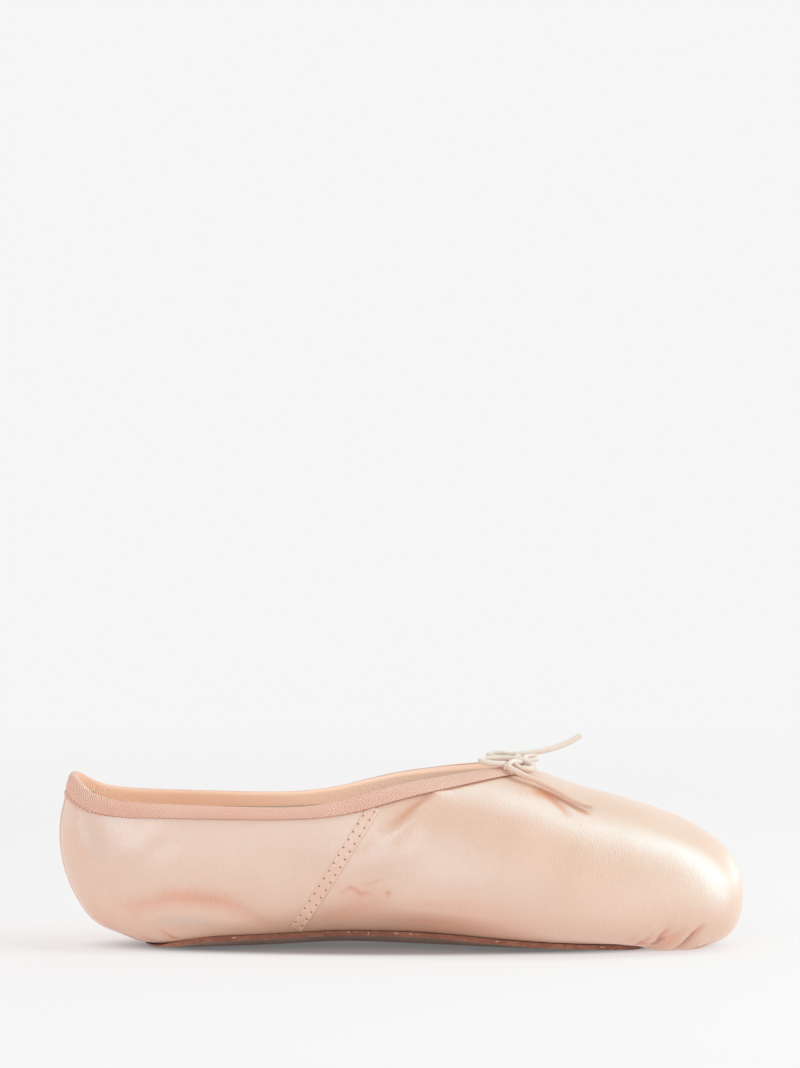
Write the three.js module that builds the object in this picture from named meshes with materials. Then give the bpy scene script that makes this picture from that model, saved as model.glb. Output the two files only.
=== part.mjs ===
// A pointe shoe, standing empty on its sole. Millimetres, +Z up, toe towards +X.
// The origin is on the floor under the middle of the shoe's box.
import * as THREE from "three";

// Driving dimensions
const LENGTH = 235; // back of the heel to tip of the toe
const BALL_WIDTH = 78; // widest place, at the ball of the foot
const INSTEP_HEIGHT = 61.8; // floor to the edge of the upper at the throat
const HEEL_HEIGHT = 59.4; // floor to the edge of the upper at the centre back
const WALL = 1.8; // satin, canvas and lining together
const RIM_WALL = 1.2; // the same wall at the collar's edge
const GAP = 0.3; // between pieces that meet along a curve
const CLEAR = GAP + 0.15; // where a piece crosses the facets of the one under it
const SOLE_THICK = 1.7;
const SOLE_PRESS = 0.1; // how far the sole is pressed flat where it stands
const UNDER = SOLE_THICK + GAP - SOLE_PRESS; // the upper over the flat places
const INSOLE_THICK = 1.2;
const BINDING_THICK = 0.7;
const BINDING_WIDTH = 7.5; // how far the folded tape comes down each side
const SIDE_SEAM_WIDTH = 4.4;
const BACK_SEAM_WIDTH = 2.8;
const SEAM_THICK = 0.6;
const MIDDLE = (LENGTH - CLEAR - SEAM_THICK) / 2; // of the box, from the heel's back
const CORD = 2.0; // the drawstring's diameter

// Places along the last, from the back of the heel
const HEEL_CENTRE = 45; // the heel turns about this place
const MOUTH_CURVE = 95; // the mouth starts to round off here
const THROAT = 156; // and ends here
const BOX_CENTRE = 200; // forward of this the toe box closes
const SPINE_FRONT = 190; // rays to the last's surface start on a line inside it
const SPINE_HEIGHT = 24;
const RAY_REACH = 110; // longer than any ray inside the last
const RAY_HALVINGS = 24; // how often a ray's reach is halved to find the surface
const HEEL_ROUND = 2.25; // how square the heel is from above, 2 is an ellipse
const TOE_ROUND = 4.5; // how square the toe is from above

// The upper's grid: columns run round the shoe, rows from the collar to the sole
const COLUMNS = 72;
const HALF = COLUMNS / 2;
const ROWS = 26;
const FINE_ROWS = 4; // inner rows at the collar that are all kept, past them every second
const PASSES = 70; // times that the grid is evened out
const ROW_PULL = 1.5; // how much more a point follows its own column than its row
const RING_EASE = 0.3; // columns are this much closer at the heel and the toe
const SOLE_EASE = 0.65; // and the sole's sections at its round ends

// The last, a row for each cross-section: place as a share of the length, half width as
// a share of half the ball width, then as shares of the instep height the widest line
// and the collar's edge (on the closed vamp its top), the mouth's half width as a share
// of half the ball width, the lift of the underside in mm, and how square the section
// is above and below its widest line.
const SECTIONS = [
  { at: 0.191, wide: 0.667, girth: 0.356, rim: 0.819, mouth: 0.545, lift: 0.0, crown: 2.0, keel: 2.6 },
  { at: 0.298, wide: 0.692, girth: 0.388, rim: 0.808, mouth: 0.582, lift: 0.4, crown: 2.0, keel: 2.1 },
  { at: 0.362, wide: 0.715, girth: 0.41, rim: 0.814, mouth: 0.6, lift: 1.1, crown: 2.0, keel: 1.9 },
  { at: 0.417, wide: 0.744, girth: 0.421, rim: 0.847, mouth: 0.6, lift: 1.6, crown: 2.0, keel: 1.8 },
  { at: 0.489, wide: 0.821, girth: 0.388, rim: 0.916, mouth: 0.6, lift: 1.0, crown: 2.1, keel: 1.65 },
  { at: 0.553, wide: 0.897, girth: 0.356, rim: 0.956, mouth: 0.6, lift: 0.4, crown: 2.1, keel: 1.65 },
  { at: 0.6, wide: 0.95, girth: 0.332, rim: 0.98, mouth: 0.6, lift: 0.1, crown: 2.05, keel: 1.8 },
  { at: 0.664, wide: 0.992, girth: 0.307, rim: 1.0, mouth: 0.6, lift: 0.0, crown: 2.0, keel: 2.15 },
  { at: 0.706, wide: 1.0, girth: 0.296, rim: 0.965, mouth: 0, lift: 0.0, crown: 2.05, keel: 2.45 },
  { at: 0.762, wide: 0.974, girth: 0.288, rim: 0.89, mouth: 0, lift: 0.0, crown: 2.15, keel: 2.8 },
  { at: 0.813, wide: 0.918, girth: 0.283, rim: 0.84, mouth: 0, lift: 0.0, crown: 2.2, keel: 3.0 },
  { at: 0.864, wide: 0.841, girth: 0.28, rim: 0.781, mouth: 0, lift: 0.0, crown: 2.3, keel: 3.0 },
  { at: 0.911, wide: 0.759, girth: 0.275, rim: 0.719, mouth: 0, lift: 0.0, crown: 2.35, keel: 3.0 },
  { at: 0.953, wide: 0.68, girth: 0.275, rim: 0.655, mouth: 0, lift: 0.0, crown: 2.4, keel: 3.0 },
  { at: 1.0, wide: 0.577, girth: 0.275, rim: 0.575, mouth: 0, lift: 0.0, crown: 2.4, keel: 3.0 },
];

// The heel and the toe from the side: how far along the last's surface is at each height
const HEEL_PROFILE = [
  { height: 1.9, along: 45 },
  { height: 2.3, along: 36 },
  { height: 3.0, along: 29 },
  { height: 4.4, along: 21.5 },
  { height: 6.0, along: 15.8 },
  { height: 9.0, along: 11.0 },
  { height: 13.5, along: 7.5 },
  { height: 20, along: 3.9 },
  { height: 26, along: 1.7 },
  { height: 32, along: 0.4 },
  { height: 38, along: 0 },
  { height: 44, along: 0.4 },
  { height: 50, along: 1.7 },
  { height: 55, along: 3.0 },
  { height: 60, along: 4.4 },
];
const TOE_PROFILE = [
  { height: 1.9, along: 219 },
  { height: 2.6, along: 225 },
  { height: 4.2, along: 229.8 },
  { height: 7, along: 232.6 },
  { height: 11, along: 234.1 },
  { height: 16, along: 234.9 },
  { height: 19, along: 235 },
  { height: 23, along: 234.8 },
  { height: 28, along: 233.4 },
  { height: 32, along: 231 },
  { height: 35.5, along: 228 },
  { height: 39, along: 223.5 },
  { height: 43, along: 216 },
];

// The collar's edge round the heel, from the centre back to the heel's centre, its height
// as a share of the heel's
const HEEL_RIM = [
  { along: 0, share: 1.0 },
  { along: 5, share: 0.983 },
  { along: 9, share: 0.936 },
  { along: 14, share: 0.899 },
  { along: 20, share: 0.877 },
  { along: 30, share: 0.862 },
  { along: 45, share: 0.852 },
];

// The sole's outline from above: half its width along the shoe, and its round ends
const SOLE_BACK = 29.2;
const SOLE_FRONT = 202;
const SOLE_ROUND = 2.2;
const SOLE_OUTLINE = [
  { along: 46, half: 17 },
  { along: 58, half: 16.8 },
  { along: 72, half: 15.4 },
  { along: 86, half: 14.2 },
  { along: 100, half: 14 },
  { along: 115, half: 15.2 },
  { along: 130, half: 17.6 },
  { along: 145, half: 20.6 },
  { along: 160, half: 23.2 },
  { along: 172, half: 24 },
];
const SOLE_TIP = 1.5; // the least half width, at the ends
const MARGIN = 6; // the upper is lasted under the sole by this much
const PUFF_DEPTH = 1.5; // the pleats in front of the sole stand lower than its bed
const PUFF_EDGE = 1.5; // how far outside the sole they start
const PUFF_RUN = 5; // and how far outside they are full
const PUFF_START = 178;

const clamp = THREE.MathUtils.clamp;
const smooth = THREE.MathUtils.smoothstep;
const vector = (x, y, z) => new THREE.Vector3(x, y, z);

// The value of a table's column at a place in its key column, on a smooth curve
function read(table, key, column, at) {
  const last = table.length - 1;
  const place = clamp(at, table[0][key], table[last][key]);
  let low = 0;
  while (low < last - 1 && place > table[low + 1][key]) low += 1;
  const slope = (index) => {
    const before = table[Math.max(index - 1, 0)];
    const after = table[Math.min(index + 1, last)];
    return (after[column] - before[column]) / (after[key] - before[key]);
  };
  const [from, to] = [table[low], table[low + 1]];
  const span = to[key] - from[key];
  const t = (place - from[key]) / span;
  const rise = to[column] - from[column];
  const start = slope(low) * span;
  const end = slope(low + 1) * span;
  return from[column] + t * (start + t * (3 * rise - 2 * start - end + t * (start + end - 2 * rise)));
}

// How far out a rounded form reaches at a share of its depth
function bow(share, square) {
  return Math.max(0, 1 - clamp(share, 0, 1) ** square) ** (1 / square);
}

function mouthHalf(along) {
  const half = (read(SECTIONS, "at", "mouth", along / LENGTH) * BALL_WIDTH) / 2;
  if (along <= MOUTH_CURVE) return half;
  return along >= THROAT ? 0 : half * bow((along - MOUTH_CURVE) / (THROAT - MOUTH_CURVE), 2);
}

// One cross-section in millimetres; its top is where its sides would meet over the mouth
const SECTION_STEP = 0.05;
const sectionCache = new Map();
function section(along) {
  const key = Math.round(along / SECTION_STEP) * SECTION_STEP;
  if (sectionCache.has(key)) return sectionCache.get(key);
  const value = (column) => read(SECTIONS, "at", column, key / LENGTH);
  const half = (value("wide") * BALL_WIDTH) / 2;
  const girth = value("girth") * INSTEP_HEIGHT;
  const rim = value("rim") * INSTEP_HEIGHT;
  const crown = value("crown");
  const top = girth + (rim - girth) / bow(mouthHalf(key) / half, crown);
  const made = { half, girth, rim, top, under: UNDER + value("lift"), crown, keel: value("keel") };
  sectionCache.set(key, made);
  return made;
}

function halfWidth(row, height) {
  if (height <= row.under || height >= row.top) return 0;
  const above = height > row.girth;
  const depth = above ? row.top - row.girth : row.girth - row.under;
  return row.half * bow(Math.abs(height - row.girth) / depth, above ? row.crown : row.keel);
}

// Whether a point lies inside the last
function inside(along, across, height) {
  const half = halfWidth(section(clamp(along, HEEL_CENTRE, LENGTH)), height);
  if (half <= 0) return false;
  const side = Math.abs(across) / half;
  if (along < HEEL_CENTRE) {
    const back = (HEEL_CENTRE - along) / (HEEL_CENTRE - read(HEEL_PROFILE, "height", "along", height));
    return back ** HEEL_ROUND + side ** HEEL_ROUND < 1;
  }
  if (along > BOX_CENTRE) {
    const front = (along - BOX_CENTRE) / (read(TOE_PROFILE, "height", "along", height) - BOX_CENTRE);
    return front ** TOE_ROUND + side ** TOE_ROUND < 1;
  }
  return side < 1;
}

// Where a ray from a place inside the last goes out through its surface
function cast(from, direction) {
  let near = 0;
  let far = RAY_REACH;
  for (let step = 0; step < RAY_HALVINGS; step += 1) {
    const middle = (near + far) / 2;
    const probe = from.clone().addScaledVector(direction, middle);
    if (inside(probe.x, probe.y, probe.z)) near = middle;
    else far = middle;
  }
  return from.clone().addScaledVector(direction, near);
}

const spineAt = (along) => vector(clamp(along, HEEL_CENTRE, SPINE_FRONT), 0, SPINE_HEIGHT);

function ontoLast(point) {
  const spine = spineAt(point.x);
  return cast(spine, point.clone().sub(spine).normalize());
}

// Height of the last's underside over a place on the floor
function underside(along, across) {
  const from = vector(along, across, section(clamp(along, HEEL_CENTRE, LENGTH)).girth);
  return cast(from, vector(0, 0, -1)).z;
}

// Shares from 0 to 1 that lie closer together at both ends, by how strongly they are eased
function easedShares(count, ease) {
  return Array.from({ length: count + 1 }, (_, step) => {
    const even = step / count;
    return even - (ease * Math.sin(even * 2 * Math.PI)) / (2 * Math.PI);
  });
}

// Half of a closed outline, resampled to points that are closer at the heel and the toe
function resample(points, count) {
  const curve = new THREE.CatmullRomCurve3(points, false, "centripetal");
  curve.arcLengthDivisions = 2000;
  return easedShares(count, RING_EASE).map((share) => curve.getPointAt(share));
}

// Half of the collar's edge, from the centre back to the throat
function collarEdge() {
  const points = [];
  const turns = 24;
  const settle = 12; // the edge's place and height follow each other, and settle in a few passes
  for (let turn = 0; turn <= turns; turn += 1) {
    const angle = ((turn / turns) * Math.PI) / 2;
    let height = HEEL_HEIGHT;
    let along = 0;
    for (let pass = 0; pass < settle; pass += 1) {
      const reach = HEEL_CENTRE - read(HEEL_PROFILE, "height", "along", height);
      along = HEEL_CENTRE - reach * Math.cos(angle) ** (2 / HEEL_ROUND);
      height = HEEL_HEIGHT * read(HEEL_RIM, "along", "share", along);
    }
    const half = halfWidth(section(HEEL_CENTRE), height);
    points.push(vector(along, half * Math.sin(angle) ** (2 / HEEL_ROUND), height));
  }
  const steps = 60;
  for (let step = 1; step <= steps; step += 1) {
    const along = HEEL_CENTRE + (THROAT - HEEL_CENTRE) * Math.sin(((step / steps) * Math.PI) / 2);
    points.push(vector(along, mouthHalf(along), section(along).rim));
  }
  return points;
}

// Half the sole's width at a place, drawn in by a margin
function soleHalf(along, margin = 0) {
  const [first, last] = [SOLE_OUTLINE[0], SOLE_OUTLINE[SOLE_OUTLINE.length - 1]];
  const half = read(SOLE_OUTLINE, "along", "half", along) - margin;
  if (along < first.along) {
    return half * bow((first.along - along) / (first.along - SOLE_BACK - margin), SOLE_ROUND);
  }
  if (along > last.along) {
    return half * bow((along - last.along) / (SOLE_FRONT - margin - last.along), SOLE_ROUND);
  }
  return half;
}

// Places along the sole, closer together at its round ends
function solePlaces(count, margin = 0) {
  const [back, front] = [SOLE_BACK + margin, SOLE_FRONT - margin];
  return easedShares(count, SOLE_EASE).map((share) => back + (front - back) * share);
}

// Half of the opening under the upper, from its back to its front
function openingEdge() {
  return solePlaces(120, MARGIN).map((along) => {
    const half = soleHalf(along, MARGIN);
    return vector(along, half, underside(along, half));
  });
}

// Where a column crosses the last's widest line, which sets the first shape of the grid
function girthEdge() {
  const points = [];
  const steps = 80;
  for (let step = 0; step <= steps; step += 1) {
    const angle = Math.PI * (1 - step / steps);
    const middle = (HEEL_CENTRE + SPINE_FRONT) / 2;
    const along = clamp(middle + (Math.cos(angle) * LENGTH) / 2, HEEL_CENTRE, SPINE_FRONT);
    const direction = vector(Math.cos(angle), Math.sin(angle), 0);
    const sideways = along > HEEL_CENTRE && along < SPINE_FRONT;
    points.push(cast(spineAt(along), sideways ? vector(0, 1, 0) : direction.normalize()));
  }
  return points;
}

// Mirrors half a ring of points into a whole one
function wholeRing(half) {
  const other = half.slice(1, -1).reverse();
  return half.concat(other.map((point) => vector(point.x, -point.y, point.z)));
}

// How far outside the sole's outline a place is, at the toe
function outsideSole(along, across) {
  const last = SOLE_OUTLINE[SOLE_OUTLINE.length - 1];
  const forward = Math.max(0, along - last.along) / (SOLE_FRONT - last.along);
  const side = Math.abs(across) / last.half;
  const reach = (forward ** SOLE_ROUND + side ** SOLE_ROUND) ** (1 / SOLE_ROUND);
  return (1 - 1 / reach) * Math.hypot(along - last.along, across);
}

// The outside of the upper as rows of points: row 0 is the collar, the last is underneath
function upperGrid() {
  const collar = wholeRing(resample(collarEdge(), HALF));
  const girth = wholeRing(resample(girthEdge(), HALF));
  const opening = wholeRing(resample(openingEdge(), HALF));
  let grid = [];
  for (let row = 0; row <= ROWS; row += 1) {
    const share = row / ROWS;
    grid.push(
      collar.map((start, column) => {
        if (row === 0) return start.clone();
        if (row === ROWS) return opening[column].clone();
        const arc = new THREE.QuadraticBezierCurve3(start, girth[column], opening[column]);
        return ontoLast(arc.getPoint(share));
      }),
    );
  }
  for (let pass = 0; pass < PASSES; pass += 1) {
    grid = grid.map((ring, row) => {
      if (row === 0 || row === ROWS) return ring;
      return ring.map((point, column) => {
        const left = ring[(column + COLUMNS - 1) % COLUMNS];
        const right = ring[(column + 1) % COLUMNS];
        const mean = grid[row - 1][column].clone().add(grid[row + 1][column]);
        mean.multiplyScalar(ROW_PULL).add(left).add(right);
        mean.divideScalar(2 * ROW_PULL + 2);
        return ontoLast(mean);
      });
    });
  }
  for (const ring of grid) {
    for (const point of ring) {
      const away = smooth(outsideSole(point.x, point.y), PUFF_EDGE, PUFF_RUN);
      const out = away * smooth(point.x, PUFF_START, BOX_CENTRE);
      point.z -= PUFF_DEPTH * out * (1 - smooth(point.z, UNDER, UNDER + PUFF_RUN));
    }
  }
  return grid;
}

// Outward directions at a grid's points
function gridNormals(grid) {
  const last = grid.length - 1;
  return grid.map((ring, row) =>
    ring.map((_, column) => {
      const right = ring[(column + 1) % COLUMNS].clone().sub(ring[(column + COLUMNS - 1) % COLUMNS]);
      const down = grid[Math.min(row + 1, last)][column].clone().sub(grid[Math.max(row - 1, 0)][column]);
      return right.cross(down).normalize();
    }),
  );
}

// A closed surface through rings of points that all have the same count. The rings turn
// back on themselves, so the last one joins the first.
function closedLoft(rings) {
  const positions = [];
  const index = [];
  const across = rings[0].length;
  for (const ring of rings) ring.forEach((point) => positions.push(point.x, point.y, point.z));
  rings.forEach((_, row) => {
    const next = (row + 1) % rings.length;
    for (let column = 0; column < across; column += 1) {
      const beside = (column + 1) % across;
      const [a, b] = [row * across + column, row * across + beside];
      const [c, d] = [next * across + column, next * across + beside];
      index.push(a, b, c, b, d, c);
    }
  });
  const geometry = new THREE.BufferGeometry();
  geometry.setAttribute("position", new THREE.Float32BufferAttribute(positions, 3));
  geometry.setIndex(index);
  return geometry;
}

// A closed bar through sections that all have the same count, with flat ends
function closedBar(sections) {
  const positions = [];
  const index = [];
  const count = sections[0].length;
  for (const ring of sections) ring.forEach((point) => positions.push(point.x, point.y, point.z));
  for (let step = 0; step < sections.length - 1; step += 1) {
    for (let corner = 0; corner < count; corner += 1) {
      const beside = (corner + 1) % count;
      const [a, b] = [step * count + corner, step * count + beside];
      index.push(a, b, a + count, b, b + count, a + count);
    }
  }
  const end = (sections.length - 1) * count;
  for (let corner = 1; corner < count - 1; corner += 1) {
    index.push(0, corner + 1, corner);
    index.push(end, end + corner, end + corner + 1);
  }
  const geometry = new THREE.BufferGeometry();
  geometry.setAttribute("position", new THREE.Float32BufferAttribute(positions, 3));
  geometry.setIndex(index);
  return geometry;
}

const shoe = new THREE.Group();

function addPiece(name, geometry, colour, roughness) {
  geometry.translate(-MIDDLE, 0, 0);
  geometry.computeVertexNormals();
  const material = new THREE.MeshStandardMaterial({ color: colour, roughness, metalness: 0 });
  const mesh = new THREE.Mesh(geometry, material);
  mesh.name = name;
  shoe.add(mesh);
}

// The upper: one shell, open at the collar and underneath
const outer = upperGrid();
const normals = gridNormals(outer);
const wallAt = (row) => RIM_WALL + (WALL - RIM_WALL) * smooth(row, 1, FINE_ROWS);
const inner = outer.map((ring, row) =>
  ring.map((point, column) => point.clone().addScaledVector(normals[row][column], -wallAt(row))),
);
const innerRows = inner.filter((_, row) => row <= FINE_ROWS || (ROWS - row) % 2 === 0);
addPiece("upper", closedLoft([...outer, ...innerRows.reverse()]), 0xe8cdbe, 0.4);

// The sole: a thin plate that follows the underside, pressed flat where it stands
function plate(places, halfAt, lowAt, highAt, across) {
  const sections = places.map((along) => {
    const half = Math.max(halfAt(along), SOLE_TIP);
    const low = [];
    const high = [];
    for (let step = 0; step <= across; step += 1) {
      const side = half * ((2 * step) / across - 1);
      low.push(vector(along, side, lowAt(along, side)));
      high.unshift(vector(along, side, highAt(along, side)));
    }
    return low.concat(high);
  });
  return closedBar(sections);
}
const soleTop = (along, side) => underside(along, side) - GAP;
const soleLow = (along, side) => Math.max(0, soleTop(along, side) - SOLE_THICK);
addPiece("outsole", plate(solePlaces(30), soleHalf, soleLow, soleTop, 8), 0x9a6a4c, 0.9);

// The insole lies on the floor inside, over the edge of the upper that is turned under
const FLOOR_WALL = WALL * 1.25; // the wall's height where the floor slopes
const INSOLE_RISE = FLOOR_WALL + GAP;
const insoleLow = (along, side) => underside(along, side) + INSOLE_RISE;
const insoleTop = (along, side) => insoleLow(along, side) + INSOLE_THICK;
addPiece("insole", plate(solePlaces(22), soleHalf, insoleLow, insoleTop, 6), 0xe9d8c4, 0.8);

// The binding: a tape folded over the collar's edge, outside and inside
function downColumn(grid, column, depth) {
  let left = depth;
  for (let row = 0; row < ROWS; row += 1) {
    const [from, to] = [grid[row][column], grid[row + 1][column]];
    const length = from.distanceTo(to);
    if (left <= length) return from.clone().lerp(to, left / length);
    left -= length;
  }
  return grid[ROWS][column].clone();
}

// A point beside the wall: how far down from the collar's edge, how far off its outside
// or its inside, and how far above the edge
function besideRim(column, depth, off, above, outside) {
  const grid = outside ? outer : inner;
  const normal = normals[1][column];
  const up = outer[0][column].clone().sub(outer[1][column]).normalize();
  const point = downColumn(grid, column, depth);
  return point.addScaledVector(normal, outside ? off : -off).addScaledVector(up, above);
}

const COVER = GAP + BINDING_THICK;
const FOLD = 0.75 * COVER; // the fold's shoulders, a little inside its full thickness
const BINDING_SECTION = [
  { depth: BINDING_WIDTH, off: COVER, above: 0, outside: true },
  { depth: BINDING_WIDTH / 2, off: COVER, above: 0, outside: true },
  { depth: 0, off: COVER, above: 0, outside: true },
  { depth: 0, off: FOLD / 2, above: COVER, outside: true },
  { depth: 0, off: FOLD / 2, above: COVER, outside: false },
  { depth: 0, off: COVER, above: 0, outside: false },
  { depth: BINDING_WIDTH, off: COVER, above: 0, outside: false },
  { depth: BINDING_WIDTH, off: CLEAR, above: 0, outside: false },
  { depth: 0, off: GAP, above: GAP, outside: false },
  { depth: 0, off: GAP, above: GAP, outside: true },
  { depth: BINDING_WIDTH, off: CLEAR, above: 0, outside: true },
];
const bindingRings = BINDING_SECTION.map(({ depth, off, above, outside }) =>
  outer[0].map((_, column) => besideRim(column, depth, off, above, outside)),
);
addPiece("binding", closedLoft(bindingRings.reverse()), 0xe9bfa3, 0.75);

// A raised seam strip along a path of directions from the spine: its centre line is cast
// onto the last and lifted off it, and its corners follow the surface on both sides
function seamStrip(path, width) {
  const centre = path.map(({ along, height, turn }) => {
    if (turn === undefined) {
      return cast(vector(along, 0, height), vector(0, 1, 0));
    }
    return cast(vector(along, 0, SPINE_HEIGHT), vector(-Math.cos(turn), 0, Math.sin(turn)));
  });
  return closedBar(
    centre.map((point, step) => {
      const before = centre[Math.max(step - 1, 0)];
      const after = centre[Math.min(step + 1, centre.length - 1)];
      const run = after.clone().sub(before).normalize();
      const out = point.clone().sub(spineAt(point.x));
      const side = run.clone().cross(out).normalize().multiplyScalar(width / 2);
      const left = ontoLast(point.clone().add(side));
      const right = ontoLast(point.clone().sub(side));
      const normal = side.clone().cross(run).normalize();
      return [
        left.clone().addScaledVector(normal, CLEAR),
        right.clone().addScaledVector(normal, CLEAR),
        right.clone().addScaledVector(normal, CLEAR + SEAM_THICK),
        left.clone().addScaledVector(normal, CLEAR + SEAM_THICK),
      ];
    }),
  );
}

// Side seams lean towards the toe at the top; the back seam's turns are angles above level
const SEAM_TOP = { along: 106.7, height: 47.8 };
const SEAM_FOOT = { along: 82.0, height: 8.4 };
const BACK_SEAM_TOP = 0.52;
const BACK_SEAM_FOOT = -0.86;
const SEAM_STEPS = 14;
const between = (from, to, step) => from + ((to - from) * step) / SEAM_STEPS;
const sidePath = [];
const backPath = [];
for (let step = 0; step <= SEAM_STEPS; step += 1) {
  sidePath.push({
    along: between(SEAM_TOP.along, SEAM_FOOT.along, step),
    height: between(SEAM_TOP.height, SEAM_FOOT.height, step),
  });
  backPath.push({ along: HEEL_CENTRE, turn: between(BACK_SEAM_TOP, BACK_SEAM_FOOT, step) });
}
const leftSeam = seamStrip(sidePath, SIDE_SEAM_WIDTH);
const rightSeam = leftSeam.clone().scale(1, -1, 1);
rightSeam.setIndex(Array.from(leftSeam.index.array).reverse());
addPiece("side_seam_left", leftSeam, 0xdfb9a6, 0.5);
addPiece("side_seam_right", rightSeam, 0xdfb9a6, 0.5);
addPiece("back_seam", seamStrip(backPath, BACK_SEAM_WIDTH), 0xdfb9a6, 0.5);

// The drawstring's bow at the throat. Routes run along, across and up, in millimetres.
const FAR_CORD = [
  [155.3, -3.4, 64.7], // at the knot
  [151.7, -2.4, 64.8],
  [148.9, -1.2, 65.0],
  [147.5, 0.8, 65.3], // the loop's tip
  [148.6, 2.9, 65.7],
  [151.9, 3.2, 65.7],
  [155.2, 1.9, 65.5],
  [157.9, 0.8, 65.7],
  [161.3, 0.4, 66.2], // the end stands up over the vamp
  [164.8, 0.5, 66.7],
  [168.2, 1.0, 67.4],
  [171.6, 1.8, 68.4],
  [174.4, 2.5, 69.4],
  [176.8, 3.2, 70.5],
  [179.2, 4.0, 71.9],
];
const NEAR_LOOP = [
  [153.0, -11.9, 63.7], // in front of the knot
  [150.6, -12.4, 63.7],
  [148.2, -12.5, 63.9],
  [146.0, -11.9, 64.2],
  [144.6, -10.4, 64.5], // the loop's tip
  [145.1, -8.6, 64.8],
  [147.4, -7.6, 65.0],
  [150.2, -7.1, 65.0],
  [153.4, -6.9, 65.0],
  [156.4, -7.0, 64.9],
  [159.2, -7.5, 64.4],
  [161.6, -8.6, 63.3], // over the front of the knot and down
  [162.3, -10.2, 62.2],
  [160.9, -11.6, 61.9],
  [158.6, -12.2, 62.1],
];
const NEAR_END = [
  [154.0, -13.9, 62.7], // under the loop
  [156.2, -15.0, 61.6],
  [158.5, -16.1, 60.5],
  [160.8, -16.7, 59.5],
  [163.4, -17.2, 58.4],
  [166.2, -17.9, 57.1],
  [169.0, -18.7, 55.8],
  [171.2, -19.6, 54.7],
  [173.4, -20.5, 53.5],
  [175.2, -21.2, 52.5],
  [176.9, -21.9, 51.8],
  [178.8, -22.5, 51.1],
  [180.8, -22.8, 50.4],
];
const CORD_SIDES = 8;
const cordSection = new THREE.Shape(
  Array.from({ length: CORD_SIDES }, (_, side) => {
    const angle = (side / CORD_SIDES) * 2 * Math.PI;
    return new THREE.Vector2(Math.cos(angle), Math.sin(angle)).multiplyScalar(CORD / 2);
  }),
);

function addCord(name, route, steps) {
  const extrudePath = new THREE.CatmullRomCurve3(route.map((point) => vector(...point)));
  const geometry = new THREE.ExtrudeGeometry(cordSection, { steps, bevelEnabled: false, extrudePath });
  addPiece(name, geometry, 0xf0d6c4, 0.8);
}
addCord("drawstring_far", FAR_CORD, 26);
addCord("drawstring_loop", NEAR_LOOP, 30);
addCord("drawstring_end", NEAR_END, 16);

const KNOT = { along: 158.6, across: -3.6, height: 64.15, long: 2.7, wide: 1.6, tall: 1.35 };
const knot = new THREE.SphereGeometry(1, 12, 8);
knot.scale(KNOT.long, KNOT.wide, KNOT.tall).translate(KNOT.along, KNOT.across, KNOT.height);
addPiece("drawstring_knot", knot, 0xf0d6c4, 0.8);

export default shoe;
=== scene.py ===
# %% [markdown]
# # A pointe shoe
# A pointe shoe is a satin shell lasted round a stiff toe box, with a tape folded over its
# collar, a suede sole stitched under it and a thin drawstring tied at the throat. The
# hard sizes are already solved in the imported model, so this lesson dresses that model:
# it loads the frame, keeps its box, and makes every soft surface from it or beside it.

# %% Load the frame and keep its box
import math

import bmesh
import bpy
import numpy as np
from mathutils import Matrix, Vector
from mathutils.bvhtree import BVHTree
from mathutils.kdtree import KDTree


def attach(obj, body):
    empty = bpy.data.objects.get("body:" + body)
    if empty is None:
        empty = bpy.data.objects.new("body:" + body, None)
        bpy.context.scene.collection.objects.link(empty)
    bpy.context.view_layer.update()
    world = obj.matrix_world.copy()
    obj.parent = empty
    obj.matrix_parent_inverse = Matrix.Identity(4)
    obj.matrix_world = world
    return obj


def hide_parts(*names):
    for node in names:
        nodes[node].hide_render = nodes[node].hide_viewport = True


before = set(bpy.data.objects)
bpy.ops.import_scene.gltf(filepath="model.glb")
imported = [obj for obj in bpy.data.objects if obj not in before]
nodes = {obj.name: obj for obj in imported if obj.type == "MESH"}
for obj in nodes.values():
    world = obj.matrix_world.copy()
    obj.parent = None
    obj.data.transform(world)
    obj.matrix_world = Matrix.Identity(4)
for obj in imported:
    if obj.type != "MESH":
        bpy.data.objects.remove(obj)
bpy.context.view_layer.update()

# %% [markdown]
# ## Sizes that everything shares
# Places on a shoe are easiest to say as a maker says them: how far along from the back of
# the heel, how far across from the middle, how high above the floor. The frame puts its
# zero under the middle of the shoe, so one small function turns a maker's place into it.
# All lengths are in metres, but the tables of places are in millimetres.

# %% A maker's places
LENGTH = 0.235
HEEL_BACK = -0.116975
CORD = 0.002


def place(along, across, up):
    return Vector((HEEL_BACK + along, across, up))


def place_mm(*millimetres):
    return place(*(value / 1000 for value in millimetres))


def way(turn, rise):
    level = math.cos(rise)
    return Vector((math.sin(turn) * level, -math.cos(turn) * level, math.sin(rise)))


def new_object(name, data):
    made = bpy.data.objects.new(name, data)
    bpy.context.scene.collection.objects.link(made)
    return made


print("heel back at x", HEEL_BACK, "and toe at x", round(HEEL_BACK + LENGTH, 4))

# %% [markdown]
# ## The camera
# The photograph looks at the shoe's side from a little above it, from far enough away
# that the lines stay nearly parallel. The shoe stands low in a tall picture. A lens shift
# could put it there, but a shift would push it out of the other views, so the camera is
# tilted up a little instead.

# %% Camera
PICTURE_WIDTH, PICTURE_HEIGHT = 800, 1068
PIXEL = LENGTH / 678  # the bare upper is 678 pixels long in the photograph
CAMERA_DISTANCE = 1.4
CAMERA_RISE = math.radians(8.0)
FLOOR_LINE = 944.5  # the picture row of the floor under the shoe's middle line
SENSOR = 0.036

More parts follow.
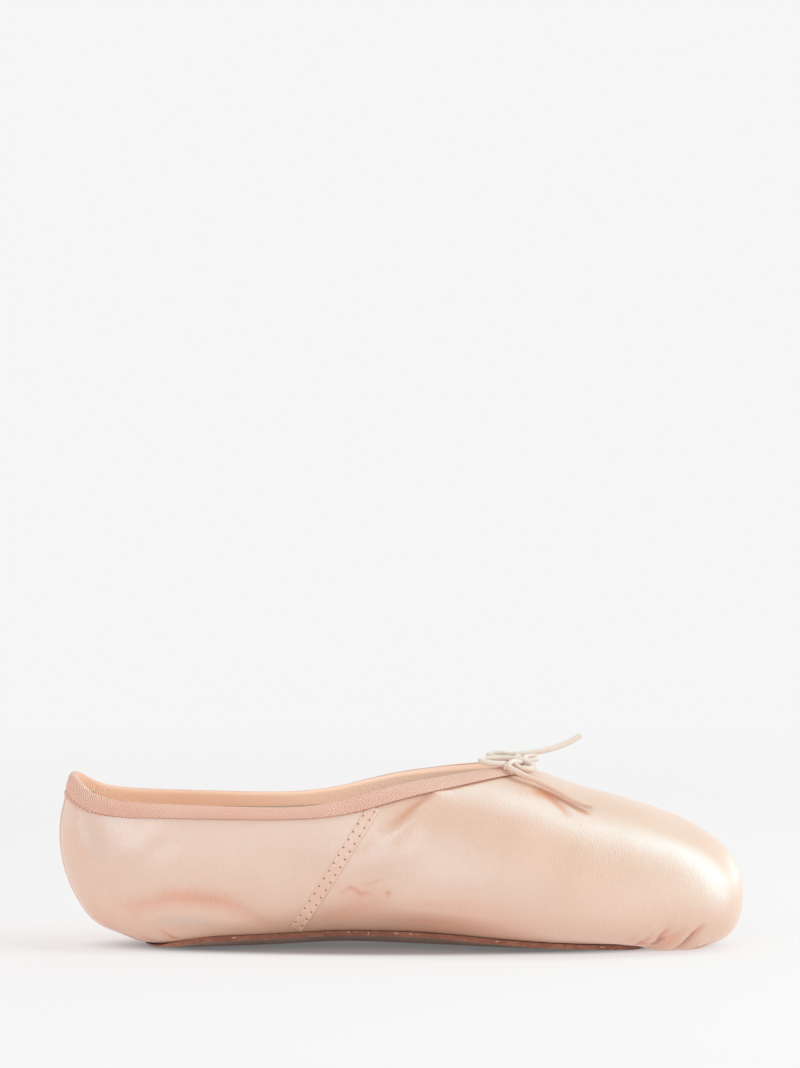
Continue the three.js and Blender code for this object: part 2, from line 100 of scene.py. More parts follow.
camera_data = bpy.data.cameras.new("camera")
camera_data.lens = 1000 * SENSOR * CAMERA_DISTANCE / (PICTURE_HEIGHT * PIXEL)
camera_data.clip_start = 0.1
camera_data.clip_end = 20
camera = new_object("camera", camera_data)
bpy.context.scene.camera = camera
camera.location = way(0, CAMERA_RISE) * CAMERA_DISTANCE
below_centre = math.atan((FLOOR_LINE - PICTURE_HEIGHT / 2) * PIXEL / CAMERA_DISTANCE)
camera.rotation_euler = (math.pi / 2 - CAMERA_RISE + below_centre, 0, 0)
tilt = math.degrees(CAMERA_RISE - below_centre)
print("camera lens", round(camera_data.lens, 1), "mm, tilted", round(tilt, 2), "degrees")

# %% [markdown]
# ## The drawstring
# The drawstring runs inside the folded tape and comes out at the throat, where it is tied
# in a small flat bow. A cord is a curve with a round bevel: a few listed points set its
# route, and the smooth curve between them keeps its thickness everywhere. One length
# makes the far loop and then stands up as the far end, one is the near loop that turns
# over the knot, and one is the near end, which lies down the vamp and has frayed.

# %% Cord routes
FAR_CORD = [
    (155.3, -3.4, 64.7), (151.7, -2.4, 64.8), (148.9, -1.2, 65.0), (147.5, 0.8, 65.3),
    (148.6, 2.9, 65.7), (151.9, 3.2, 65.7), (155.2, 1.9, 65.5), (157.9, 0.8, 65.7),
    (161.3, 0.4, 66.2), (164.8, 0.5, 66.7), (168.2, 1.0, 67.4), (171.6, 1.8, 68.4),
    (174.4, 2.5, 69.4), (176.8, 3.2, 70.5), (179.2, 4.0, 71.9),
]
NEAR_LOOP = [
    (153.0, -11.9, 63.7), (150.6, -12.4, 63.7), (148.2, -12.5, 63.9), (146.0, -11.9, 64.2),
    (144.6, -10.4, 64.5), (145.1, -8.6, 64.8), (147.4, -7.6, 65.0), (150.2, -7.1, 65.0),
    (153.4, -6.9, 65.0), (156.4, -7.0, 64.9), (159.2, -7.5, 64.4), (161.6, -8.6, 63.3),
    (162.3, -10.2, 62.2), (160.9, -11.6, 61.9), (158.6, -12.2, 62.1),
]
NEAR_END = [
    (154.0, -13.9, 62.7), (156.2, -15.0, 61.6), (158.5, -16.1, 60.5), (160.8, -16.7, 59.5),
    (163.4, -17.2, 58.4), (166.2, -17.9, 57.1), (169.0, -18.7, 55.8), (171.2, -19.6, 54.7),
    (173.4, -20.5, 53.5), (175.2, -21.2, 52.5), (176.9, -21.9, 51.8), (178.8, -22.5, 51.1),
    (180.8, -22.8, 50.4),
]


def cord_curve(name, route, thickness=CORD):
    data = bpy.data.curves.new(name, "CURVE")
    data.dimensions = "3D"
    data.bevel_depth = thickness / 2
    data.bevel_resolution = 4
    data.use_fill_caps = True
    spline = data.splines.new("BEZIER")
    spline.bezier_points.add(len(route) - 1)
    for point, spot in zip(spline.bezier_points, route):
        point.co = place_mm(*spot)
        point.handle_left_type = point.handle_right_type = "AUTO"
    cord = new_object(name, data)
    bpy.context.view_layer.update()
    length = spline.calc_length()
    print(name, "is", round(1000 * length, 1), "mm long")
    return cord, length


far_cord, far_length = cord_curve("drawstring_far_cord", FAR_CORD)
near_loop, loop_length = cord_curve("drawstring_near_loop", NEAR_LOOP)
near_end, end_length = cord_curve("drawstring_near_end", NEAR_END)

# %% [markdown]
# ## Floor and light
# A shoe for a catalogue stands on a pale sheet under a tent of soft light, so that satin
# shows one broad highlight and no hard shadow. A round sheet that fades out at its rim
# does the same work as a long paper sweep, and has no horizon line from any side. The
# sheet glows like a light table, which keeps the shadow short and pale, and it glows far
# less where the shoe stands on it, which is a painted shadow under the shoe. The tent is
# the even world light, with a dimmer gap above the camera, which darkens the band under
# the highlight. A tall box by the toe and a small one overhead draw that highlight, and a
# low one past the toe carries it round the edge.

# %% Colours as a painter mixes them, and nodes
def srgb(red, green, blue):
    shares = [value / 255 for value in (red, green, blue)]
    return [s / 12.92 if s <= 0.04045 else ((s + 0.055) / 1.055) ** 2.4 for s in shares] + [1.0]


def add_node(tree, kind, **settings):
    node = tree.nodes.new(kind)
    for key, value in settings.items():
        setattr(node, key, value)
    return node


def new_material(name):
    material = bpy.data.materials.new(name)
    material.use_nodes = True
    tree = material.node_tree
    coordinate = add_node(tree, "ShaderNodeTexCoord").outputs["Object"]
    return material, tree, tree.nodes["Principled BSDF"], coordinate


# A socket knows its own tree, so these need only be told what to join.
def feed(socket, value):
    if isinstance(value, (int, float, list, tuple)):
        socket.default_value = value
    else:
        socket.id_data.links.new(value, socket)


def set_inputs(node, **values):
    for label, value in values.items():
        feed(node.inputs[label.replace("_", " ")], value)
    return node.outputs


def math_node(operation, first, *others, kind="ShaderNodeMath", output=0):
    node = add_node(first.id_data, kind, operation=operation)
    for socket, value in zip(node.inputs, (first, *others)):
        feed(socket, value)
    return node.outputs[output]


def vector_node(operation, *values, output="Vector"):
    return math_node(operation, *values, kind="ShaderNodeVectorMath", output=output)


def split(vector):
    return set_inputs(add_node(vector.id_data, "ShaderNodeSeparateXYZ"), Vector=vector)


def ramp(value, low, high, at_low=0.0, at_high=1.0):
    node = add_node(value.id_data, "ShaderNodeMapRange", interpolation_type="SMOOTHSTEP")
    set_inputs(node, Value=value, From_Min=low, From_Max=high, To_Min=at_low, To_Max=at_high)
    return node.outputs["Result"]


print("helpers for colours and nodes are ready")

# %% Floor sheet
SHEET_RADIUS = 0.95
SHEET_FADE = 0.2
PAPER_GLOW = 0.60
# Under the shoe the sheet glows far less: an ellipse of painted shadow, darkest at the contact.
PAINTED_SHADOW_GLOW = 0.14
PAINTED_SHADOW_LENGTH, PAINTED_SHADOW_WIDTH = 0.108, 0.029  # half of what the shoe covers
sheet_bm = bmesh.new()
bmesh.ops.create_circle(sheet_bm, cap_ends=True, segments=96, radius=SHEET_RADIUS)
sheet_mesh = bpy.data.meshes.new("floor_sheet")
sheet_bm.to_mesh(sheet_mesh)
sheet_bm.free()
floor_sheet = new_object("floor_sheet", sheet_mesh)

paper, tree, shader, coordinate = new_material("pale paper")
distance = vector_node("LENGTH", coordinate, output="Value")
footprint = (1 / PAINTED_SHADOW_LENGTH, 1 / PAINTED_SHADOW_WIDTH, 0)
footprint = vector_node("MULTIPLY", coordinate, footprint)
painted_shadow_ellipse = vector_node("LENGTH", footprint, output="Value")
# The glow falls to the painted shadow's level inside the ellipse under the shoe.
set_inputs(
    shader,
    Base_Color=srgb(154, 146, 144),
    Emission_Color=(1, 1, 1, 1),
    Emission_Strength=ramp(painted_shadow_ellipse, 0.7, 1.08, PAINTED_SHADOW_GLOW, PAPER_GLOW),
    Roughness=0.9,
    Specular_IOR_Level=0.0,
    Alpha=ramp(distance, SHEET_FADE, SHEET_RADIUS * 0.98, 1.0, 0.0),
)
sheet_mesh.materials.append(paper)
print("floor sheet radius", SHEET_RADIUS, "m, fading from", SHEET_FADE)

# %% Tent and boxes of light
TENT_LEVEL = 0.92
TENT_TOP = 0.59
GAP_SHARE = 0.5
GAP_TURN, GAP_RISE = math.radians(14), math.radians(46)
world = bpy.data.worlds.new("light tent")
world.use_nodes = True
sky = world.node_tree
direction = add_node(sky, "ShaderNodeTexCoord").outputs["Generated"]
level = ramp(split(direction)["Z"], 0.25, 1.0, TENT_LEVEL, TENT_TOP)
gap_way = tuple(way(GAP_TURN, GAP_RISE))
facing_gap = vector_node("DOT_PRODUCT", direction, gap_way, output="Value")
gap = ramp(facing_gap, 0.70, 0.99, 1.0, 1.0 - GAP_SHARE)
dimmed = math_node("MULTIPLY", level, gap)
set_inputs(sky.nodes["Background"], Strength=dimmed, Color=(1, 1, 1, 1))
bpy.context.scene.world = world
bpy.context.scene.view_settings.view_transform = "Standard"


AIM = Vector((0.03, 0, 0.03))
COOL = (0.66, 0.94, 1.0)
NEUTRAL = (1, 1, 1)
LIGHTS = [  # name, turn and rise in degrees, distance, size, watts, colour
    ("tall box by the toe", 77, 29, 1.15, (0.55, 1.6), 11.0, COOL),
    ("small box over the vamp", 85, 80, 1.15, (0.5, 0.5), 1.9, COOL),
    ("low box past the toe", 122, 9, 1.15, (1.0, 0.32), 1.5, COOL),
    ("wide box in front of the heel", -35, 24, 1.4, (1.0, 0.8), 4.2, NEUTRAL),
]
for name, turn, rise, distance, size, power, colour in LIGHTS:
    data = bpy.data.lights.new(name, "AREA")
    data.color = colour
    data.shape = "RECTANGLE"
    data.size, data.size_y = size
    data.energy = power
    box = new_object(name, data)
    out = way(math.radians(turn), math.radians(rise))
    box.location = out * distance + AIM
    box.rotation_euler = out.to_track_quat("Z", "Y").to_euler()
    print("light", name, [round(value, 2) for value in box.location], power, "W")

# %% [markdown]
# ## From solid to skin
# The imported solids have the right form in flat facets. A soft piece starts from a merged
# copy of its solid, so the form is kept: the triangle pairs become four-sided faces, and
# a subdivision surface rounds them. The modifier is applied at once, because the folds
# that follow are set into the finished points.

# %% Copies of the solids
def opened(mesh):
    bm = bmesh.new()
    bm.from_mesh(mesh)
    return bm


def copy_of(node_name):
    bm = opened(nodes[node_name].data)
    bmesh.ops.remove_doubles(bm, verts=bm.verts, dist=1e-6)
    flat, square = math.radians(40), math.radians(70)
    bmesh.ops.join_triangles(
        bm, faces=bm.faces, angle_face_threshold=flat, angle_shape_threshold=square
    )
    print(node_name, "copied with", len(bm.faces), "faces")
    return bm


def new_piece(name, bm, levels=0):
    mesh = bpy.data.meshes.new(name)
    bm.to_mesh(mesh)
    bm.free()
    piece = new_object(name, mesh)
    if levels:
        rounding = piece.modifiers.new("rounding", "SUBSURF")
        rounding.levels = rounding.render_levels = levels
        graph = bpy.context.evaluated_depsgraph_get()
        piece.data = bpy.data.meshes.new_from_object(piece.evaluated_get(graph))
        piece.data.name = name
        piece.modifiers.clear()
    piece.data.shade_smooth()
    return piece


def read(items, field):
    flat = np.empty(3 * len(items))
    items.foreach_get(field, flat)
    return flat.reshape(-1, 3)


def points_of(piece):
    return read(piece.data.vertices, "co")


def normals_of(piece):
    return read(piece.data.vertex_normals, "vector")


def set_points(piece, points):
    piece.data.vertices.foreach_set("co", points.ravel())
    piece.data.update()


def dress(piece, *materials):
    piece.data.materials.clear()
    for material in materials:
        piece.data.materials.append(material)


print("copies are merged, then rounded")

# %% [markdown]
# ## Shared finishes
# Cloth looks like cloth because of its threads. The same few effects come back on the
# satin, the tape, the lining and the suede, so each one is a node group with named inputs
# and outputs: long threads lying side by side, a plain weave, a herringbone twill, short
# fibres, and the uneven tone that handling leaves. A group only works out heights and
# masks. The shader that uses them stays in the material.

# %% Group helpers
def new_group(name, inputs, outputs):
    group = bpy.data.node_groups.new(name, "ShaderNodeTree")
    for label, value in inputs.items():
        kind = "NodeSocketVector" if value is None else "NodeSocketFloat"
        socket = group.interface.new_socket(label, in_out="INPUT", socket_type=kind)
        if value is not None:
            socket.default_value = value
    for label in outputs:
        group.interface.new_socket(label, in_out="OUTPUT", socket_type="NodeSocketFloat")
    start = add_node(group, "NodeGroupInput")
    end = add_node(group, "NodeGroupOutput")
    return group, start.outputs, end.inputs


def use_group(group, **values):
    tree = next(iter(values.values())).id_data
    return set_inputs(add_node(tree, "ShaderNodeGroup", node_tree=group), **values)


def noise(vector, scale, detail=2.0, roughness=0.5):
    node = add_node(vector.id_data, "ShaderNodeTexNoise")
    set_inputs(node, Vector=vector, Scale=scale, Detail=detail, Roughness=roughness)
    return node.outputs["Fac"]


def mix_colours(mask, first, second):
    node = add_node(mask.id_data, "ShaderNodeMix", data_type="RGBA")
    feed(node.inputs["Factor"], mask)
    colour_inputs = [socket for socket in node.inputs if socket.type == "RGBA"]
    for socket, value in zip(colour_inputs, (first, second)):
        feed(socket, value)
    return [socket for socket in node.outputs if socket.type == "RGBA"][0]


def tinted(colour, mask, tint, share=1.0):
    if share != 1.0:
        mask = math_node("MULTIPLY", mask, share)
    return mix_colours(mask, colour, srgb(*tint))


def bump(height, depth, under=None):
    node = add_node(height.id_data, "ShaderNodeBump")
    set_inputs(node, Strength=1.0, Distance=depth, Height=height)
    if under is not None:
        feed(node.inputs["Normal"], under)
    return node.outputs["Normal"]


print("group helpers are ready")

# %% Long threads side by side
threads, given, result = new_group(
    "long threads",
    {"Place": None, "Threads per metre": 2800.0},
    ["Height"],
)
lines = vector_node("MULTIPLY", given["Place"], (1.0, 0.2, 0.2))
lines = noise(lines, given["Threads per metre"], detail=1.0, roughness=0.4)
feed(result["Height"], ramp(lines, 0.2, 0.8))

# %% Plain weave
plain_weave, given, result = new_group(
    "plain weave",
    {"Place": None, "Threads per metre": 1600.0},
    ["Height", "Gap"],
)
turned = split(given["Place"])
across_thread = math_node("ADD", turned["Y"], turned["Z"])
waves = []
for direction in (turned["X"], across_thread):
    angle = math_node("MULTIPLY", direction, given["Threads per metre"])
    angle = math_node("MULTIPLY", angle, math.pi)
    waves.append(math_node("SINE", angle))
woven = math_node("MULTIPLY", waves[0], waves[1])
feed(result["Height"], ramp(woven, -1.0, 1.0))
crossing = math_node("ABSOLUTE", woven)
feed(result["Gap"], ramp(crossing, 0.25, 0.0))

# %% Herringbone twill
# The ribs run one way up to the middle of a band and the other way after it. Folding the
# distance across the tape back and forth gives that, and adding it to the distance along
# slants the ribs.
herringbone, given, result = new_group(
    "herringbone",
    {
        "Along": 0.0, "Across": 0.0, "Rib pitch": 0.00085,
        "Band": 0.0034, "Band start": 0.0, "Slant": 0.8,
    },
    ["Height", "Groove"],
)
shifted = math_node("ADD", given["Across"], given["Band start"])
folded = math_node("PINGPONG", shifted, given["Band"])
slanted = math_node("MULTIPLY", folded, given["Slant"])
ribs = math_node("ADD", given["Along"], slanted)
ribs = math_node("DIVIDE", ribs, given["Rib pitch"])
rib_wave = math_node("MULTIPLY", ribs, 2 * math.pi)
rib_wave = math_node("SINE", rib_wave)
feed(result["Height"], ramp(rib_wave, -0.9, 0.8))
feed(result["Groove"], ramp(rib_wave, -0.2, -0.95))

# %% Short fibres and uneven tone
fibres, given, result = new_group(
    "short fibres",
    {"Place": None, "Fineness": 3000.0},
    ["Height", "Fleck"],
)
fibre_noise = noise(given["Place"], given["Fineness"], detail=3.0, roughness=0.7)
feed(result["Height"], fibre_noise)
fleck_places = vector_node("MULTIPLY", given["Place"], (1.0, 1.0, 1.7))
fleck_noise = noise(fleck_places, 950.0, roughness=0.6)
feed(result["Fleck"], ramp(fleck_noise, 0.58, 0.72))

uneven_tone, given, result = new_group(
    "uneven tone",
    {"Place": None, "Patches per metre": 40.0},
    ["Patch", "Speckle", "Mottle"],
)
mottle_places = vector_node("MULTIPLY", given["Place"], (0.45, 1.0, 1.3))
for label, places, scale, detail, roughness, low, high in (
    ("Patch", given["Place"], given["Patches per metre"], 4.0, 0.55, 0.35, 0.7),
    ("Speckle", given["Place"], 700.0, 3.0, 0.6, 0.45, 0.75),
    ("Mottle", mottle_places, 260.0, 3.0, 0.6, 0.35, 0.68),
):
    spots = noise(places, scale, detail, roughness)
    feed(result[label], ramp(spots, low, high))


def patchy(coordinate, patches, first, second):
    tone = use_group(uneven_tone, Place=coordinate, Patches_per_metre=patches)
    return tone, mix_colours(tone["Patch"], srgb(*first), srgb(*second))


print("groups:", [group.name for group in bpy.data.node_groups])

# %% [markdown]
# ## Satin
# Shoe satin is peach pink. Its long floats of thread lie side by side, so its highlight
# is broad, nearly white, and breaks up into a fine grain where it ends. Two layers of
# gloss give that: a soft one from the threads, tinted cool so that it turns the peach
# white, and a coat that is a little tighter. The threads run across the shoe and are
# bump. The tone is uneven at random. Darker, warmer colour low down and in the folds is
# painted shade and painted light bounced from satin to satin, and some folds are painted
# a greyer shade.

# %% Satin material
COOL_GLOSS = srgb(152, 233, 255)
THREAD_TINT = (240, 214, 200)
satin, tree, shader, coordinate = new_material("peach satin")
thread = use_group(threads, Place=coordinate, Threads_per_metre=3000.0)
tone, colour = patchy(coordinate, 38.0, (237, 180, 146), (242, 188, 156))
# Painted shade: darker and warmer towards the floor, by height alone.
painted_low_shade = ramp(split(coordinate)["Z"], 0.024, 0.005)
# Painted shade of the folds, read from a point attribute: orange in troughs, pleats and low
# glows.
painted_shade = add_node(tree, "ShaderNodeAttribute", attribute_name="painted_shade").outputs["Fac"]
colour = tinted(colour, painted_low_shade, (233, 164, 122), 0.55)
colour = tinted(colour, painted_shade, (234, 142, 86))
# Painted shade: the deepest pleats are painted darkest.
colour = tinted(colour, ramp(painted_shade, 1.0, 1.7, 0.0, 0.6), (172, 86, 54))
# Painted shade: negative values paint a greyer shade.
colour = tinted(colour, ramp(painted_shade, 0.0, -1.0), (204, 170, 154))
colour = tinted(colour, thread["Height"], THREAD_TINT, 0.22)
mottled = math_node("MULTIPLY_ADD", tone["Mottle"], 0.07, 0.40)
surface = bump(thread["Height"], 0.00004)
set_inputs(
    shader,
    Base_Color=colour,
    Roughness=math_node("MULTIPLY_ADD", thread["Height"], -0.06, mottled),
    IOR=1.8,
    Specular_Tint=COOL_GLOSS,
    Specular_IOR_Level=1.0,
    Coat_Weight=0.8,
    Coat_Roughness=0.34,
    Sheen_Weight=0.25,
    Sheen_Roughness=0.45,
    Sheen_Tint=srgb(250, 226, 214),
    Normal=bump(tone["Mottle"], 0.000008, under=surface),
)
print("satin has", len(tree.nodes), "nodes")

# %% Cotton lining material
lining, tree, shader, coordinate = new_material("cotton lining")
weave = use_group(plain_weave, Place=coordinate, Threads_per_metre=1500.0)
tone, colour = patchy(coordinate, 30.0, (238, 223, 207), (245, 233, 220))
set_inputs(
    shader,
    Base_Color=tinted(colour, weave["Gap"], (196, 178, 152), 0.25),
    Roughness=0.85,
    Sheen_Weight=0.2,
    Normal=bump(weave["Height"], 0.00012),
)
print("lining has", len(tree.nodes), "nodes")

# %% [markdown]
# ## The upper
# The upper is satin outside and cotton inside, lasted wet over the form. The copy of its
# solid gives the last's shape. Its plain inside gets coarser faces, and its outside finer
# ones in the boxes where it will be pleated or creased, so that a fold is made of real
# points. Satin or lining is chosen by which way a face looks from the middle of the shoe.
# A worn in heel has settled a little to the near side, so its rim is lowered there by
# less than a millimetre.

# %% Upper skin with finer faces where it folds
SPINE_UP = 0.024
SPINE_FRONT = 0.190
SPINE_END = 0.045
RIM_DROP = 0.0009
WHOLE_WIDTH = (-1.0, 1.0)
NEAR_SIDE = (-1.0, 0.0)
CREASES = [  # from and to, along and up: under the tape, by the cord, the small ones
    ((0.108, 0.131), (0.039, 0.057)),
    ((0.160, 0.178), (0.044, 0.058)),
    ((0.093, 0.117), (0.016, 0.028)),
]
FINER = [  # from and to, along, across and up
    ((0.018, 0.043), WHOLE_WIDTH, (-1.0, 0.009)),
    ((0.193, 1.0), WHOLE_WIDTH, (-1.0, 0.013)),
    ((0.090, 0.135), NEAR_SIDE, (0.014, 0.060)),
    ((0.153, 0.182), NEAR_SIDE, (0.042, 1.0)),
]
FINER += [(along, WHOLE_WIDTH, up) for along, up in CREASES]
FINEST = [
    ((0.195, 0.226), (-1.0, -0.007), (-1.0, 0.0115)),
    ((0.195, 0.226), (0.007, 1.0), (-1.0, 0.0115)),
]
FINEST += [(along, NEAR_SIDE, up) for along, up in CREASES]


def away_from_middle(points):
    middle = np.full(points.shape, [0.0, 0.0, SPINE_UP])
    along = np.clip(points[:, 0] - HEEL_BACK, SPINE_END, SPINE_FRONT)
    middle[:, 0] = HEEL_BACK + along
    return points - middle


def faces_outward(centre, normal):
    along = min(max(centre.x - HEEL_BACK, SPINE_END), SPINE_FRONT)
    return normal.dot(centre - place(along, 0, SPINE_UP)) > 0


def in_box(centre, box):
    spot = (centre.x - HEEL_BACK, centre.y, centre.z)
    return all(low < value < high for value, (low, high) in zip(spot, box))


def outer(face):
    return faces_outward(face.calc_center_median(), face.normal)


def put_back(bm, piece):
    bm.to_mesh(piece.data)
    bm.free()
    piece.data.shade_smooth()
    print(piece.name, "now has", len(piece.data.polygons), "faces")


def coarser_inside(piece):
    bm = opened(piece.data)
    inner = [vert for vert in bm.verts if not any(outer(face) for face in vert.link_faces)]
    bmesh.ops.unsubdivide(bm, verts=inner, iterations=2)
    put_back(bm, piece)


def finer_in(piece, boxes):
    bm = opened(piece.data)
    edges = set()
    for face in bm.faces:
        if outer(face) and any(in_box(face.calc_center_median(), box) for box in boxes):
            edges.update(face.edges)
    bmesh.ops.subdivide_edges(bm, edges=list(edges), cuts=1, use_grid_fill=True)
    put_back(bm, piece)


def settled(points):
    height = np.clip((points[:, 2] - 0.030) / 0.026, 0, 1)
    along = np.clip((0.125 - (points[:, 0] - HEEL_BACK)) / 0.045, 0, 1)
    side = np.clip(-points[:, 1] / 0.012, -0.3, 1)
    lowered = points.copy()
    lowered[:, 2] -= RIM_DROP * side * height**2 * along * along * (3 - 2 * along)
    return lowered


upper = new_piece("upper_skin", copy_of("upper"), levels=2)
set_points(upper, settled(points_of(upper)))
coarser_inside(upper)
finer_in(upper, FINER)
finer_in(upper, FINEST)

# %% Satin outside, lining inside
dress(upper, satin, lining)
lined = 0
for face in upper.data.polygons:
    face.material_index = 0 if faces_outward(face.center, face.normal) else 1
    lined += face.material_index
print(lined, "of", len(upper.data.polygons), "faces are lining")

# %% [markdown]
# ## Folds set one by one
# A lasted shoe folds where the cloth is pulled: from the tape down the side of the vamp,
# under the throat, in pleats round both ends of the sole, and over the pad of the heel.
# Each fold is a line of a few places in the shoe's own millimetres, with a width and a
# depth. A soft bell pushes the points near the line in or out, and it fades at the ends.
# A ridge beside a trough is what makes a fold read as cloth.

# %% Places on the skin
REACH = 0.12


def skin_of(piece):
    bm = opened(piece.data)
    tree = BVHTree.FromBMesh(bm)
    bm.free()
    return tree


upper_skin = skin_of(upper)


def on_side(along, up, side):
    start = place_mm(along, side * REACH * 1000, up)
    return upper_skin.ray_cast(start, Vector((0, -side, 0)))[0]


def on_underside(along, across):
    start = place_mm(along, across, -REACH * 1000)
    return upper_skin.ray_cast(start, Vector((0, 0, 1)))[0]


def line_through(spots):
    return np.array([tuple(spot) for spot in spots if spot is not None])


def smooth_line(places, steps=10):
    line = np.array(places, dtype=float)
    ends = np.vstack([2 * line[0] - line[1], line, 2 * line[-1] - line[-2]])
    found = []
    for p0, p1, p2, p3 in zip(ends, ends[1:], ends[2:], ends[3:]):
        for step in range(steps):
            t = step / steps
            bend = 2 * p1 + (p2 - p0) * t + (2 * p0 - 5 * p1 + 4 * p2 - p3) * t**2
            found.append(0.5 * (bend + (3 * p1 - p0 - 3 * p2 + p3) * t**3))
    found.append(line[-1])
    return np.array(found)


def bell(points, line, width, open_start):
    share = np.linspace(0, 1, len(line))
    fade = np.sin(np.pi * share) ** 0.85
    if open_start:
        fade = np.cos(0.5 * np.pi * share) ** 0.8
    low, high = line.min(0) - 3 * width, line.max(0) + 3 * width
    near = np.nonzero(np.all((points > low) & (points < high), axis=1))[0]
    value = np.zeros(len(points))
    if len(near):
        gaps = np.linalg.norm(points[near, None, :] - line[None, :, :], axis=2)
        closest = gaps.argmin(axis=1)
        value[near] = fade[closest] * np.exp(-((gaps.min(axis=1) / width) ** 2))
    return value


print("the side at 150 mm along and 20 mm up is", [round(v, 4) for v in on_side(150, 20, -1)])

# %% Folds of the side and the heel
# Each has a width, a depth, a shade tint and its places as along and up, all lengths in
# millimetres. A negative depth is a trough. The shade tint is painted shade: how orange the
# satin is painted in and near the fold, and grey where it is negative. Entries with no
# depth, such as the glows, are painted shade alone.
SIDE_FOLDS = [
    ("under the tape, trough", 2.4, -1.3, 0.30, [(128.6, 55.2), (126.4, 54), (121.7, 51.3),
        (119, 48.7), (116.3, 46.5), (113.6, 44.2), (110.6, 41.4)]),
    ("under the tape, line", 1.0, -0.45, 0.45, [(127.5, 54.6), (121.7, 51.3), (119, 48.7),
        (116.3, 46.5), (113.2, 43.6)]),
    ("under the tape, edge", 3.6, 0.8, 0.0, [(134, 56), (130, 54.2), (125.4, 51.6),
        (121.6, 48.2), (117.6, 44), (113.6, 38.6)]),
    ("trough going on", 2.8, -0.28, 0.25, [(112.4, 41.4), (108.9, 38.2), (105.4, 35.2),
        (101.4, 32.4)]),
    ("light ridge", 6.0, 0.35, 0.0, [(126, 51), (121.5, 45.4), (116.3, 40.2), (111, 35.4),
        (103.6, 29.2), (99.4, 24.6)]),
    ("second trough", 3.4, -0.3, 0.15, [(124, 45), (121.2, 42.4), (117, 38.3),
        (112.4, 34.2)]),
    ("second ridge", 5.0, 0.3, 0.0, [(132, 46), (125.6, 41), (118.6, 34)]),
    ("small crease", 0.9, -0.2, 0.95, [(95.5, 20.5), (98.4, 22.2), (100.2, 23.1),
        (102.3, 22.2), (103.6, 21), (105.6, 21.6), (108.3, 20.4)]),
    ("small crease, lip", 1.6, 0.14, 0.0, [(98.4, 24.6), (101.2, 25.3), (104.2, 23.2),
        (108.6, 22.2)]),
    ("nick", 0.7, -0.2, 1.1, [(111.6, 22.1), (113, 21.8), (114.6, 22)]),
    ("nick, stem", 0.5, -0.2, 0.65, [(113, 22), (113, 18.9)]),
    ("faint crease", 0.9, -0.2, 0.4, [(104, 23.8), (107, 24.8), (109.6, 25.7), (112, 26.5)]),
    ("tucked in over the arch", 7.5, -0.6, 0.5, [(108, 9), (120, 9.6), (134, 9.8), (148, 9.4),
        (160, 8), (170, 6)]),
    ("low edge of the vamp", 2.4, -0.35, 0.25, [(117, 17), (127, 17.6), (137, 17.4),
        (147, 16.4), (157, 15)]),
    ("ripple", 1.0, -0.14, 0.3, [(118.6, 10.2), (122, 11), (126, 11.2), (130.4, 10.5),
        (136, 10)]),
    ("low glow by the seam", 6.0, -0.4, 0.42, [(88, 11), (97, 14), (106, 17.6), (114, 20)]),
    ("ridge above it", 4.4, 0.35, 0.0, [(122, 24), (136, 25.5), (150, 25), (162, 22)]),
    ("heel pad, glow", 4.6, 0.0, 0.5, [(21, 15), (30, 15.6), (40, 18), (50, 18.4), (58, 16.6),
        (65, 13)]),
    ("low glow at the heel", 4.0, 0.0, 0.55, [(9, 17), (13, 11.5), (18, 8), (25, 5)]),
    ("heel pad, trough", 2.4, -0.7, 0.48, [(19.4, 16.9), (29.7, 16.9), (39.9, 19.2),
        (49.9, 18.9), (58.3, 17.6), (65, 14.4), (70.5, 9.9), (73, 7.4)]),
    ("heel pad, ridge", 3.4, 0.9, 0.0, [(22, 11.6), (34, 12), (46, 12.2), (57, 12.2),
        (64, 9)]),
    ("heel pad, grey", 3.2, 0.1, -0.55, [(28, 13), (38, 12.4), (48, 12.4), (60, 12.6)]),
    ("heel quarter, trough", 4.0, -0.6, -0.3, [(9, 49), (11, 42.2), (13.2, 35.7),
        (11.8, 28.9)]),
    ("heel quarter, ridge", 3.0, 0.5, 0.0, [(4.8, 48), (6.2, 41.3), (8, 33.4)]),
    ("quarter, ridge", 4.5, 0.4, 0.0, [(22.2, 32), (28.3, 36.2), (33, 38.9), (40.5, 42.6)]),
    ("quarter, trough", 3.4, -0.4, -0.2, [(31, 34), (36.1, 37), (42.8, 39.2)]),
    ("throat, trough", 1.6, -0.6, 1.15, [(161, 55.6), (164.4, 54.9), (167.4, 53.7),
        (170.7, 51.5), (172.9, 49.4), (174.8, 46.6)]),
    ("throat, glow", 3.0, 0.0, 0.4, [(155, 56), (161, 55), (166, 53.4), (170.6, 50.6)]),
    ("dimple by the sole", 2.0, -0.5, 0.5, [(192.6, 6.1), (195, 5.6), (197.4, 4.6)]),
    ("toe pleat 1", 0.9, -0.95, 1.7, [(197.6, 2.8), (199.5, 3.7), (202.4, 3.9), (204.8, 5.2),
        (207.1, 6.4), (211.4, 8.2)]),
    ("toe pleat 1, branch", 0.8, -0.5, 1.1, [(203.6, 5.6), (204.7, 6.8), (207.6, 9.2)]),
    ("toe pleat 2", 1.0, -0.95, 1.5, [(209, 1.9), (211.3, 2.9), (213.4, 4.8), (216.3, 7.2),
        (220.6, 10.6)]),
    ("toe pleat 3", 0.9, -0.8, 1.6, [(214, 1.6), (215.8, 2), (219.5, 2.6), (223.4, 4.2)]),
    ("puff before pleat 1", 2.6, 0.5, 0.0, [(195, 6.4), (200.6, 8), (204, 10)]),
    ("puff between 1 and 2", 2.2, 0.75, 0.0, [(204.6, 2.2), (208, 3.4), (211.6, 6.2),
        (216, 10)]),
    ("puff between 2 and 3", 2.0, 0.6, 0.0, [(213.4, 2.2), (217, 4.2), (221.6, 7)]),
]

